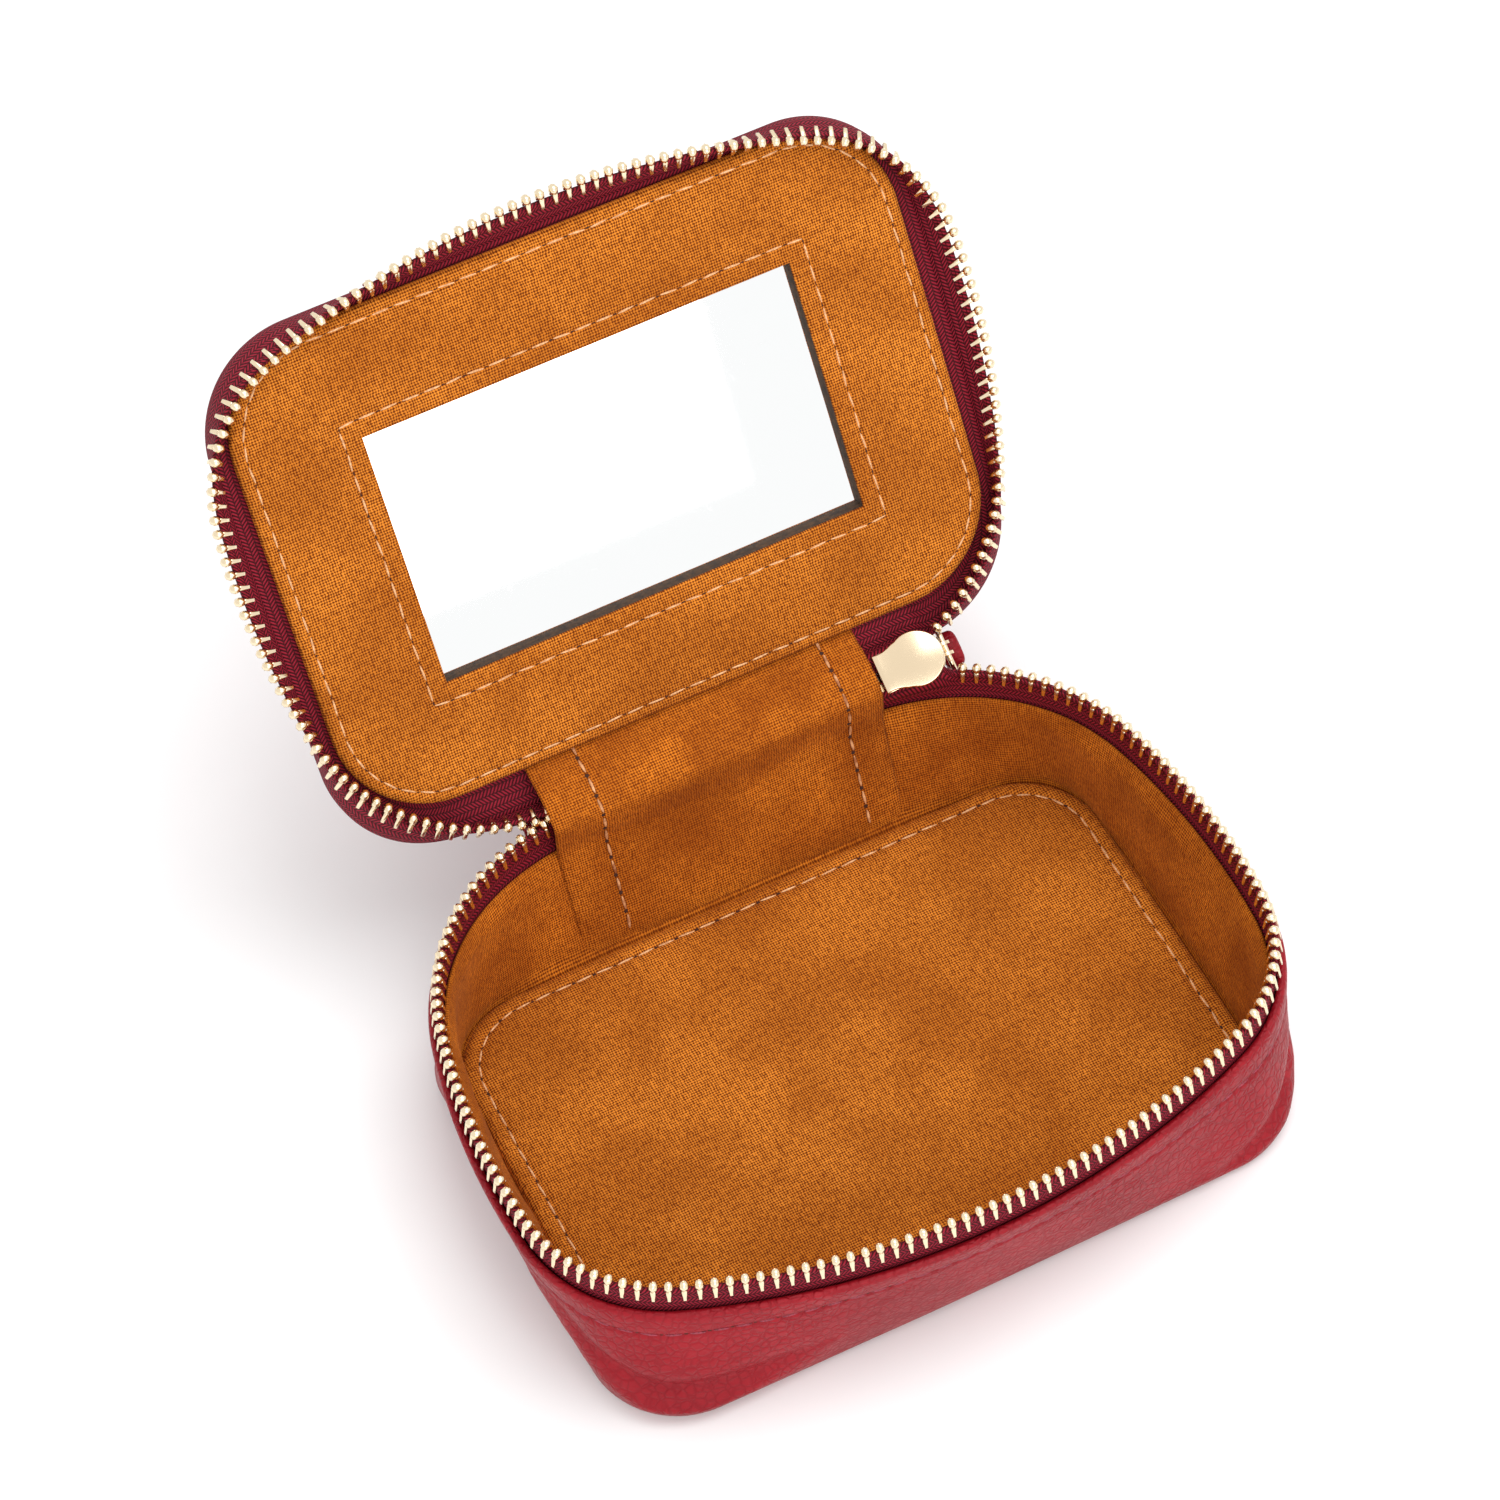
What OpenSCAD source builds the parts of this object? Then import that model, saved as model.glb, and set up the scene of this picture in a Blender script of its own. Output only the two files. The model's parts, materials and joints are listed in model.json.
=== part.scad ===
// Zip-around travel jewellery case: a leather base box and a shallow mirrored lid.
// Origin at the middle of the underside. +X runs along the hinge, +Y to the back, +Z up.
// The lid is drawn shut and then turned open about the hinge line, which lies in the zip's plane.

/* [Case] */
// Length of the base at its bottom edge
base_length = 114; // [104:1:124]
// Depth of the base at its bottom edge
base_depth = 81; // [74:1:88]
// Corner radius of the bottom edge
base_corner = 14; // [8:1:20]
// Height of the zip line above the table
zip_height = 29.5; // [26:0.5:36]
// Height of the lid above the zip line when shut
lid_height = 15; // [13:0.5:20]
// How far the zip outline stands back from the middle of the base
rim_shift = 1.5; // [0:0.5:3]
// Angle of the lid from shut
open_angle = 121; // [60:1:125]

/* [Zip] */
// Half-length of the zip outline's straight back stretch
back_straight = 23.5; // [20:0.5:28]
// Radius and turn of the back corners
back_radius = 34.5; // [30:0.5:40]
// Turn of the back corners, in degrees
back_turn = 76; // [70:1:82]
// Radius of the bowed ends
end_radius = 110; // [80:5:150]
// Turn of the bowed ends, in degrees
end_turn = 19; // [10:1:24]
// Radius of the front corners
front_radius = 24; // [18:0.5:30]
// Turn of the front corners, in degrees
front_turn = 62; // [50:1:66]
// Spacing of the teeth in one row
tooth_pitch = 2.17; // [1.8:0.01:2.6]
// Height of the woven tape between the leather edge and the zip line
tape_show = 6.3; // [5:0.1:7]

/* [Materials] */
// Thickness of the leather
leather = 1.4; // [1:0.1:1.8]
// Thickness of the suede cloth
suede = 0.7; // [0.5:0.1:1]
// Thickness of the zip tape
tape = 0.7; // [0.5:0.1:0.8]

/* [Lid panel and mirror] */
// Length of the lid panel
panel_length = 107.6; // [96:0.2:109]
// Depth of the lid panel
panel_depth = 76.5; // [70:0.5:80]
// Distance from the hinge line to the panel's near edge
panel_start = 7.9; // [7:0.1:9]
// Distance of the panel's face behind the zip line
panel_recess = 2; // [1:0.1:3]
// Length of the mirror window
window_length = 69.4; // [60:0.2:72]
// Depth of the mirror window
window_depth = 40.5; // [34:0.5:44]
// Distance from the hinge line to the window's near edge
window_start = 26; // [22:0.5:28]

/* [Hinge strap] */
// Width of the inner suede strap
strap_width = 55; // [48:1:60]
// Width of the outer leather strap
back_strap_width = 62; // [56:1:66]

/* [Slider and pull] */
// Distance from the case's middle to the slider's tail
slider_tail = 28.6; // [28.4:0.1:29]
// How far the slider turns with the zip's curve, in degrees
slider_heading = 14; // [0:1:20]
// Radius of the slider's round head
head_radius = 4.3; // [4:0.1:4.6]
// Length of the leather pull below its ring
pull_length = 20; // [14:1:22]

/* [Hidden] */
$fn = 48;

edge_z = zip_height - tape_show;        // top edge of the base leather
lid_edge = tape_show;                   // lid leather edge, measured from the zip line
skin = leather + 0.4;                   // outer face of the leather, from the tape's middle
lining = suede + 0.4;                   // inner face of the lining, from the tape's middle
sewn = 6;                               // depth of tape sewn in below the leather edge
front_close = 180 - back_turn - end_turn - front_turn;
panel_corner = 22;
floor_length = base_length - 6.6;
floor_depth = base_depth - 6.6;
floor_corner = base_corner + 1;
floor_top = 4.9;
panel_board = 1.6;
glass = 1.8;
glass_margin = 3.5;
tooth = 0.95;                           // thickness of one tooth along its row
leg_end = 2.4;                          // reach of a tooth's legs from the zip line
slider_turn = open_angle / 2;           // the slider stands half-way between the two rows
burgundy = [0.58, 0.12, 0.18];
wine = [0.42, 0.06, 0.13];
ochre = [0.74, 0.44, 0.14];
gold = [0.87, 0.78, 0.60];
card = [0.30, 0.22, 0.15];

// ---- Zip outline: a chain of arcs that meet without a corner, from the back's middle clockwise ----

// Point reached from p with heading h after turning by t on radius r
function arc_point(p, h, r, t) = [p.x + r * (sin(h + t) - sin(h)), p.y + r * (cos(h + t) - cos(h))];
h1 = back_turn;
h2 = h1 + end_turn;
h3 = h2 + front_turn;
p1 = [back_straight, 0];
p2 = arc_point(p1, 0, back_radius, back_turn);
p3 = arc_point(p2, h1, end_radius, end_turn);
p4 = arc_point(p3, h2, front_radius, front_turn);
bow_radius = p4.x / sin(front_close);
len1 = back_straight;
len2 = len1 + back_radius * back_turn * PI / 180;
len3 = len2 + end_radius * end_turn * PI / 180;
len4 = len3 + front_radius * front_turn * PI / 180;
half_path = len4 + bow_radius * front_close * PI / 180;
rim_depth = bow_radius * (1 - cos(front_close)) - p4.y;
hinge_y = rim_depth / 2 + rim_shift;

// Point and heading at distance s along the right half, as [x, y, heading]
function on_arc(p, h, r, s) =
    let (t = s / r * 180 / PI, q = arc_point(p, h, r, t)) [q.x, q.y, h + t];
function right_half(s) =
    s < len1 ? [s, 0, 0] :
    s < len2 ? on_arc(p1, 0, back_radius, s - len1) :
    s < len3 ? on_arc(p2, h1, end_radius, s - len2) :
    s < len4 ? on_arc(p3, h2, front_radius, s - len3) :
    on_arc(p4, h3, bow_radius, s - len4);
// The same for the whole way round, where s runs to twice half_path
function on_rim(s) =
    s <= half_path ? right_half(s) :
    let (q = right_half(2 * half_path - s)) [-q.x, q.y, 360 - q[2]];
rim_steps = 96;                         // points round a wall

// A rounded plate from exact arcs
module plate(length, depth, radius, height) {
    linear_extrude(height = height) {
        square([length - 2 * radius, depth], center = true);
        square([length, depth - 2 * radius], center = true);
        for (x = [-1, 1], y = [-1, 1])
            translate([x * (length / 2 - radius), y * (depth / 2 - radius)])
                circle(r = radius);
    }
}

// ---- Shared shapes ----

// Turns a shape drawn for the shut lid to where the lid stands open
module opened(angle = open_angle) {
    translate([0, hinge_y, zip_height])
        rotate([-angle, 0, 0])
            children();
}

// The wall's foot at z = 0: a rounded rectangle, followed clockwise from the back's middle
foot_x = base_length / 2 - skin;
foot_y = base_depth / 2 - skin;
foot_r = base_corner - skin;
foot1 = foot_x - foot_r;
foot2 = foot1 + foot_r * PI / 2;
foot3 = foot2 + 2 * (foot_y - foot_r);
foot4 = foot3 + foot_r * PI / 2;
half_foot = foot4 + foot1;
function foot_half(s) =
    s < foot1 ? [s, foot_y, 0] :
    s < foot2 ? on_arc([foot1, foot_y], 0, foot_r, s - foot1) :
    s < foot3 ? [foot_x, foot_y - foot_r - (s - foot2), 90] :
    s < foot4 ? on_arc([foot_x, foot_r - foot_y], 90, foot_r, s - foot3) :
    [half_foot - s, -foot_y, 180];
function on_foot(s) =
    s <= half_foot ? foot_half(s) :
    let (q = foot_half(2 * half_foot - s)) [-q.x, q.y, 360 - q[2]];

// Points round the wall at height z, d outside the tape's middle, between the foot and the rim
function moved_out(q, d) = [q.x + d * sin(q[2]), q.y + d * cos(q[2])];
function wall_ring(z, rim_z, d) = [
    for (i = [0:rim_steps - 1])
        let (a = moved_out(on_foot(2 * half_foot * i / rim_steps), d),
             b = moved_out(on_rim(2 * half_path * i / rim_steps), d) + [0, hinge_y],
             p = a + (b - a) * z / rim_z)
            [p.x, p.y, z]
];

// Closed ring bounded by the given rings of points, taken in order round its section
module ring_solid(rings) {
    n = rim_steps;
    m = len(rings);
    polyhedron(
        points = [for (r = rings) each r],
        faces = [
            for (k = [0:m - 1], i = [0:n - 1], half = [0, 1])
                let (a = k * n + i, b = k * n + (i + 1) % n,
                     c = ((k + 1) % m) * n + (i + 1) % n, d = ((k + 1) % m) * n + i)
                    half == 0 ? [a, b, c] : [a, c, d]
        ]
    );
}

// Heights of a wall's rings: its two ends and the even steps between, the same in every layer
function wall_levels(low, high, rim_z) = concat(
    [low],
    [for (t = [0.2:0.2:0.8]) if (rim_z * t > low + 0.4 && rim_z * t < high - 0.4) rim_z * t],
    [high]
);
function wall_side(levels, rim_z, d) = [for (z = levels) wall_ring(z, rim_z, d)];
function reversed(list) = [for (i = [len(list) - 1:-1:0]) list[i]];

// Wall between two offsets and two heights
module wall(rim_z, inner, outer, low, high) {
    levels = wall_levels(low, high, rim_z);
    ring_solid(concat(wall_side(levels, rim_z, outer), wall_side(reversed(levels), rim_z, inner)));
}

// The zip tape: sewn in below the leather edge, free above it. Behind the straps and the slider
// only a low edge of it stands, and at the left end it stops short of the hinge line.
tape_top = zip_height - 1;
tape_stub = edge_z + 0.6;
tape_left = zip_height - leg_end + 0.05;
function tape_height(q) =
    q.y < -12 || q.x > 43.2 || q.x < -33 ? tape_top : q.x < -22.5 ? tape_left : tape_stub;
function tape_ring(d) = [
    for (i = [0:rim_steps - 1])
        let (q = on_rim(2 * half_path * i / rim_steps), p = moved_out(q, d) + [0, hinge_y])
            [p.x, p.y, tape_height(q)]
];
module zip_tape(rim_z, low) {
    h = tape / 2;
    lift = [0, 0, rim_z - edge_z];
    levels = wall_levels(low, rim_z, rim_z);
    ring_solid(concat(
        wall_side(levels, rim_z, h), [[for (p = tape_ring(h)) p + lift]],
        [[for (p = tape_ring(-h)) p + lift]], wall_side(reversed(levels), rim_z, -h)
    ));
}

// One tooth's outline across its row: a round head, and two legs that clamp the tape
head = 0.8;
leg_out = 1.25;
module tooth_profile() {
    slot = tape / 2 + 0.01;
    polygon(concat(
        [[slot, -1.05], [slot, -leg_end], [leg_out, -leg_end], [leg_out, -1.3], [head, -0.7]],
        [for (a = [0:30:180]) [head * cos(a), -0.1 + head * sin(a)]],
        [[-head, -0.7], [-leg_out, -1.3], [-leg_out, -leg_end], [-slot, -leg_end], [-slot, -1.05]]
    ));
}

module one_tooth() {
    translate([-tooth / 2, 0, 0])
        rotate([90, 0, 90])
            linear_extrude(height = tooth) tooth_profile();
}

// Every tooth sits a whole number of steps along the path; the other row sits half a step on
tooth_steps = round(2 * half_path / tooth_pitch);
tooth_step = 2 * half_path / tooth_steps;
row_start = len1 + back_radius * asin((43.2 - back_straight) / back_radius) * PI / 180;
row_end = 2 * half_path - 26;
module tooth_row(phase) {
    for (i = [ceil(row_start / tooth_step) : floor(row_end / tooth_step - 1)])
        let (q = on_rim((i + phase) * tooth_step))
            translate([q.x, q.y, 0])
                rotate([0, 0, -q[2]])
                    one_tooth();
}

// A strip bent through a list of [y, z] points and drawn along X
function unit(v) = v / norm(v);
function strip_normal(p, i) =
    let (a = p[max(i - 1, 0)], b = p[min(i + 1, len(p) - 1)], t = unit(b - a)) [-t.y, t.x];
function strip_side(p, d) = [for (i = [0:len(p) - 1]) p[i] + d * strip_normal(p, i)];
module strip(points, thick, width) {
    half = strip_side(points, thick / 2);
    other = strip_side(points, -thick / 2);
    translate([-width / 2, hinge_y, zip_height])
        rotate([90, 0, 90])
            linear_extrude(height = width)
                polygon(concat(half, [for (i = [len(other) - 1:-1:0]) other[i]]));
}
// A [y, z] point of the shut lid, measured from the hinge line, after the lid has opened
function lid_point(p) = [
    p.x * cos(open_angle) + p.y * sin(open_angle),
    -p.x * sin(open_angle) + p.y * cos(open_angle)
];

// ---- Base ----

module base_leather_bottom() {
    color(burgundy)
        plate(base_length, base_depth, base_corner, leather);
}

module base_leather_wall() {
    color(burgundy)
        wall(edge_z, 0.4, skin, leather, edge_z);
}

module base_bottom_board() {
    color(card)
        translate([0, 0, leather])
            plate(floor_length, floor_depth, floor_corner, 1.2);
}

module base_wall_stiffener() {
    color(card)
        wall(edge_z, -0.3, 0.3, leather, edge_z - sewn - 0.1);
}

module base_lining_wall() {
    color(ochre)
        wall(edge_z, -lining, -0.4, leather + 0.1, edge_z);
}

module floor_foam() {
    color([0.9, 0.88, 0.8])
        translate([0, 0, leather + 1.2])
            plate(floor_length - 1.4, floor_depth - 1.4, floor_corner - 0.7, 1.6);
}

// Suede cloth over the foam, turned down over its edge
module floor_panel() {
    color(ochre)
        difference() {
            translate([0, 0, leather + 1.2])
                plate(floor_length, floor_depth, floor_corner, floor_top - leather - 1.2);
            translate([0, 0, leather])
                plate(floor_length - 1.4, floor_depth - 1.4, floor_corner - 0.7, 2.8);
        }
}

module base_zip_tape() {
    color(wine)
        zip_tape(edge_z, edge_z - sewn);
}

module base_zip_teeth() {
    color(gold)
        translate([0, hinge_y, zip_height])
            tooth_row(0);
}

// Clip over the tape at the left end of a row
module top_stop(x) {
    difference() {
        translate([x, -leg_out, -2.6])
            cube([1.3, 2 * leg_out, 2.3]);
        translate([x - 1, -tape / 2 - 0.01, -3])
            cube([4, tape + 0.02, 2.1]);
    }
}

module base_top_stop() {
    color(gold)
        translate([0, hinge_y, zip_height])
            top_stop(-25.4);
}

// ---- Hinge straps, drawn folded as they are with the lid open ----

module hinge_leather() {
    wall_slope = (base_depth / 2 - hinge_y - skin) / edge_z;
    low = edge_z - 12;
    outside = 0.6;
    color(burgundy)
        strip([
            [skin + outside + wall_slope * (edge_z - low), low - zip_height],
            [skin + outside, -tape_show],
            lid_point([skin + outside, tape_show - 1.2]) + [-0.35, 0],
            lid_point([skin + outside, tape_show + 0.6]),
            lid_point([skin + outside - 2.2, lid_height - 3])
        ], 1, back_strap_width);
}

module hinge_lining() {
    color(ochre)
        strip([
            lid_point([-13.5, 5.3]),
            lid_point([-9.5, 5.3]),
            lid_point([-7.6, 4.7]),
            lid_point([-6, 2.8]),
            lid_point([-4.8, 0.6]),
            [0.9, 3.3],
            [-1.2, 2.2],
            [-3.1, 0.9],
            [-3.7, -0.7],
            [-3.8, -4],
            [-3.9, -7.5],
            [-5.4, -13],
            [-7.4, -19],
            [-8.9, floor_top + 0.8 - zip_height]
        ], suede, strap_width);
}

// ---- Lid, drawn shut ----

module lid_layer(length, depth, radius, low, high) {
    opened()
        translate([0, -panel_start - panel_depth / 2, low])
            plate(length, depth, radius, high - low);
}

// The lid's wall is the base's wall turned over: its sewn edge is at the top
module lid_wall(inner, outer, low, high) {
    opened()
        translate([0, -hinge_y, lid_height])
            mirror([0, 0, 1])
                wall(lid_height - lid_edge, inner, outer, lid_height - high, lid_height - low);
}

module lid_leather_top() {
    color(burgundy)
        opened()
            translate([0, -hinge_y, lid_height - leather])
                plate(base_length, base_depth, base_corner, leather);
}

module lid_leather_wall() {
    color(burgundy)
        lid_wall(0.4, skin, lid_edge, lid_height - leather);
}

board_low = panel_recess + suede + panel_board + glass + 0.6;
module lid_foam() {
    color([0.9, 0.88, 0.8])
        lid_layer(panel_length - 2, panel_depth - 4, panel_corner, board_low + 1.2,
                  lid_height - leather);
}

module lid_board() {
    color(card)
        lid_layer(panel_length, panel_depth, panel_corner, board_low, board_low + 1.2);
}

glass_low = panel_recess + suede + panel_board;
module mirror_plate(low, high) {
    opened()
        translate([-window_length / 2 - glass_margin,
                   -window_start - window_depth - glass_margin, low])
            cube([window_length + 2 * glass_margin, window_depth + 2 * glass_margin, high - low]);
}

module mirror_card() {
    color(card)
        mirror_plate(glass_low + glass, board_low);
}

module mirror_glass() {
    color([0.92, 0.94, 0.95])
        mirror_plate(glass_low, glass_low + glass);
}

module window_cut() {
    opened()
        translate([-window_length / 2, -window_start - window_depth, 0])
            cube([window_length, window_depth, 8]);
}

module lid_panel_board() {
    color(card)
        difference() {
            lid_layer(panel_length - 1, panel_depth - 1, panel_corner - 0.5,
                      panel_recess + suede, glass_low);
            window_cut();
        }
}

module lid_panel_suede() {
    color(ochre)
        difference() {
            lid_layer(panel_length, panel_depth, panel_corner, panel_recess, panel_recess + suede);
            window_cut();
        }
}

module lid_zip_tape() {
    color(wine)
        opened()
            translate([0, -hinge_y, lid_height])
                mirror([0, 0, 1])
                    zip_tape(lid_height - lid_edge, lid_height - lid_edge - sewn);
}

module lid_zip_teeth() {
    color(gold)
        opened()
            mirror([0, 0, 1])
                tooth_row(0.5);
}

module lid_top_stop() {
    color(gold)
        opened()
            mirror([0, 0, 1])
                top_stop(-23.7);
}

// ---- Zip end, slider and pull, drawn for the shut case and turned half as far as the lid ----

chain_start = 25;
module zip_bottom_stop() {
    color(gold)
        opened(slider_turn)
            translate([chain_start - 1.8, -1.3, -leg_end])
                cube([1.6, 2.6, 2 * leg_end]);
}

// Teeth of both rows that stay meshed behind the slider
module zip_end_chain() {
    color(gold)
        opened(slider_turn)
            for (i = [0:2])
                translate([chain_start + tooth / 2 + i * tooth_step / 2, 0, 0])
                    mirror([0, 0, i % 2])
                        one_tooth();
}

head_x = slider_tail + 6.2;
plate_in = 1.65;
plate_out = 2.45;
eye_x = head_x + head_radius + 0.4;
eye_y = 3.5;
wire = 0.45;
tail_half = 3.1;

// Turns the slider and its pull with the zip's curve, about the middle of the tail
module at_slider() {
    opened(slider_turn)
        translate([slider_tail, -0.3, 0])
            rotate([0, 0, -slider_heading])
                translate([-slider_tail, 0, 0])
                    children();
}

// Outline of a slider plate: a round head and a waisted tail
module slider_outline() {
    translate([head_x, 0])
        circle(r = head_radius);
    polygon([
        [slider_tail, -tail_half], [slider_tail + 2, -tail_half + 0.2],
        [head_x - 2.2, -head_radius + 0.6], [head_x, -head_radius + 0.6],
        [head_x, head_radius - 0.6], [head_x - 2.2, head_radius - 0.6],
        [slider_tail + 2, tail_half - 0.2], [slider_tail, tail_half]
    ]);
}

// Plates, post, tail rails and the bridge with its eye
module zip_slider() {
    color(gold)
        at_slider()
            difference() {
                union() {
                    for (y = [-plate_in, plate_out])
                        translate([0, y, 0])
                            rotate([90, 0, 0])
                                linear_extrude(height = plate_out - plate_in)
                                    slider_outline();
                    translate([head_x + 2.2, plate_out - 0.1, 0])
                        rotate([90, 0, 0])
                            cylinder(r = 1.1, h = 2 * plate_out - 0.2);
                    for (y = [-plate_in - 0.1, 0.65], z = [-tail_half, tail_half - 0.45])
                        translate([slider_tail, y, z])
                            cube([2.2, plate_in - 0.55, 0.45]);
                    translate([head_x - 2.6, plate_out - 0.1, -1.1])
                        cube([eye_x - head_x + 2.6, eye_y - plate_out + 0.9, 2.2]);
                    translate([eye_x, eye_y, -1.1])
                        cylinder(r = 1.2, h = 2.2);
                }
                translate([eye_x, eye_y, -3])
                    cylinder(r = wire + 0.08, h = 6);
            }
}

bail_half = 3.5;
bail_length = 5;
// Closed wire loop: one bar in the slider's eye, two sides, and the bar that holds the leather
module pull_bail() {
    color(gold)
        at_slider()
            translate([eye_x, eye_y, 0]) {
                for (y = [0, bail_length])
                    translate([0, y, -bail_half])
                        cylinder(r = wire, h = 2 * bail_half);
                for (z = [-bail_half, bail_half])
                    translate([0, bail_length, z])
                        rotate([90, 0, 0])
                            cylinder(r = wire, h = bail_length);
                for (y = [0, bail_length], z = [-bail_half, bail_half])
                    translate([0, y, z])
                        sphere(r = wire);
            }
}

// Leather strip folded round the bail's outer bar, with its two ends glued flat together
pull_thick = 2.4;
pull_width = 5.8;
module pull_tab() {
    rivet_y = eye_y + bail_length + 3.4;
    color(burgundy)
        at_slider()
            translate([eye_x, 0, 0])
                difference() {
                    union() {
                        translate([0, eye_y + bail_length, -pull_width / 2])
                            cylinder(r = pull_thick / 2, h = pull_width);
                        translate([-pull_thick / 2, eye_y + bail_length, 0])
                            rotate([0, 90, 0])
                                linear_extrude(height = pull_thick)
                                    polygon([
                                        [-pull_width / 2, 0], [pull_width / 2, 0],
                                        [pull_width / 2 + 0.8, pull_length - 3],
                                        [pull_width / 2 - 1, pull_length],
                                        [-pull_width / 2 + 1, pull_length],
                                        [-pull_width / 2 - 0.8, pull_length - 3]
                                    ]);
                    }
                    translate([0, eye_y + bail_length, -bail_half])
                        cylinder(r = wire + 0.08, h = 2 * bail_half);
                    translate([-pull_thick, rivet_y, 0])
                        rotate([0, 90, 0])
                            cylinder(r = 0.7, h = 2 * pull_thick);
                }
}

module pull_rivet() {
    rivet_y = eye_y + bail_length + 3.4;
    color(gold)
        at_slider()
            translate([eye_x, rivet_y, 0])
                rotate([0, 90, 0]) {
                    translate([0, 0, -pull_thick / 2 - 0.5])
                        cylinder(r = 1.5, h = 0.5);
                    translate([0, 0, -pull_thick / 2 - 0.1])
                        cylinder(r = 0.7, h = pull_thick + 0.2);
                    translate([0, 0, pull_thick / 2])
                        cylinder(r = 1.5, h = 0.5);
                }
}

base_leather_bottom();
base_leather_wall();
base_bottom_board();
base_wall_stiffener();
base_lining_wall();
floor_foam();
floor_panel();
base_zip_tape();
base_zip_teeth();
base_top_stop();
hinge_leather();
hinge_lining();
lid_leather_top();
lid_leather_wall();
lid_foam();
lid_board();
mirror_card();
mirror_glass();
lid_panel_board();
lid_panel_suede();
lid_zip_tape();
lid_zip_teeth();
lid_top_stop();
zip_bottom_stop();
zip_end_chain();
zip_slider();
pull_bail();
pull_tab();
pull_rivet();
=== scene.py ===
"""Zip-around travel jewellery case: leather base box, mirrored lid, suede lining and metal zip."""
import json
import math
import random

import bmesh
import bpy
from mathutils import Matrix, Vector, noise


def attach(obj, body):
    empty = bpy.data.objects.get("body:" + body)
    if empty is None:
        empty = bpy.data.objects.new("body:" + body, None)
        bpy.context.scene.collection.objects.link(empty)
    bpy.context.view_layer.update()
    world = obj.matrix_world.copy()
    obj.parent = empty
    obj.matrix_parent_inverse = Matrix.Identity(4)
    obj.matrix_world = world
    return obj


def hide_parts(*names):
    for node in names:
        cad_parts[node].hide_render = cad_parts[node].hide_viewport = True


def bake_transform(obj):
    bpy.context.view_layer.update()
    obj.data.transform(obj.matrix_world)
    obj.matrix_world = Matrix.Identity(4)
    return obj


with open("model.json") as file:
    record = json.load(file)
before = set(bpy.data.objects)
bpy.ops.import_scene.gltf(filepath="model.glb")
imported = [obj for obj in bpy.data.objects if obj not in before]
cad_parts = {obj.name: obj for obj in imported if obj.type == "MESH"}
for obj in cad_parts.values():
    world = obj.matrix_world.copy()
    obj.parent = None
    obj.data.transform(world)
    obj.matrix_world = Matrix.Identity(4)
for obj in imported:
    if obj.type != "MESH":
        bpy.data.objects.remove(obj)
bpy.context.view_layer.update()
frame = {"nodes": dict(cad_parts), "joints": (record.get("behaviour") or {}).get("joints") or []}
random.seed(11)

# ---- Sizes, in millimetres ----
MM = 0.001
hinge_joint = next(j for j in frame["joints"] if j["name"] == "lid_hinge")
HINGE_Y, HINGE_Z = (1000 * v for v in hinge_joint["pos_m"][1:])
OPEN = math.radians(hinge_joint["range_deg"][1])
HALF_OPEN = OPEN / 2
TAPE_SHOW = 6.3                    # tape between the leather edge and the zip line
EDGE_Z = HINGE_Z - 5.3             # top edge of the base leather
LID_HEIGHT = 15.0
STRAP_HALF = 27.5                  # half the width of the suede strap
BACK_STRAP_HALF = 31.0
TAIL_X = 28.6                      # the slider's tail
SLIDER_TURN = math.radians(14)
PITCH = 3.5                        # stitch spacing


def smooth(low, high, value):
    t = min(1.0, max(0.0, (value - low) / (high - low)))
    return t * t * (3 - 2 * t)


def ripple(x, y, z, size):
    """Soft noise from -1 to 1 with lumps of that size."""
    return noise.noise(Vector((x, y, z)) / size)


# ---- Outlines ----
class Outline:
    """One side of an even outline, walked clockwise from the back's middle as (length, turn) legs."""

    def __init__(self, start_y, legs):
        self.legs, point, heading, gone = [], Vector((0, start_y)), 0.0, 0.0
        for length, turn in legs:
            self.legs.append((gone, length, point, heading, math.radians(turn)))
            point = self.walk(point, heading, length, math.radians(turn), length)
            heading += math.radians(turn)
            gone += length
        self.half, self.end = gone, point

    @staticmethod
    def walk(point, heading, length, turn, along):
        if abs(turn) < 1e-9:
            return point + Vector((math.cos(heading), -math.sin(heading))) * along
        radius, t = length / turn, turn * along / length
        return point + radius * Vector((math.sin(heading + t) - math.sin(heading),
                                        math.cos(heading + t) - math.cos(heading)))

    def at(self, share, out=0.0):
        """Point at a share of the way round, moved out, with its heading."""
        s = (share % 1.0) * 2 * self.half
        mirrored = s > self.half
        if mirrored:
            s = 2 * self.half - s
        gone, length, point, heading, turn = [leg for leg in self.legs if leg[0] <= s + 1e-9][-1]
        p = self.walk(point, heading, length, turn, s - gone)
        heading += turn * (s - gone) / length
        if mirrored:
            p, heading = Vector((-p.x, p.y)), 2 * math.pi - heading
        return p + out * Vector((math.sin(heading), math.cos(heading))), heading


def rounded(length, depth, radius):
    quarter = math.pi * radius / 2
    return Outline(depth / 2, [(length / 2 - radius, 0), (quarter, 90), (depth - 2 * radius, 0),
                               (quarter, 90), (length / 2 - radius, 0)])


rim_legs = [(23.5, 0), (34.5 * math.radians(76), 76), (110 * math.radians(19), 19),
            (24 * math.radians(62), 62)]
bow = math.radians(23)
rim_legs.append((Outline(0, rim_legs).end.x / math.sin(bow) * bow, 23))
rim = Outline(0, rim_legs)
foot = rounded(110.4, 77.4, 12.2)
lid_edge, LID_MIDDLE = rounded(108.7, 80.9, 15.05), -43.6
lid_top, LID_TOP_MIDDLE = rounded(103.2, 76.4, 13), -41.4
TOOTH_STEPS = round(2 * rim.half / 2.17)


def opened(p, angle=OPEN):
    """From a shut part's place, measured from the hinge line, to where it stands open."""
    c, s = math.cos(angle), math.sin(angle)
    return Vector((p[0], HINGE_Y + p[1] * c + p[2] * s, HINGE_Z - p[1] * s + p[2] * c))


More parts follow.
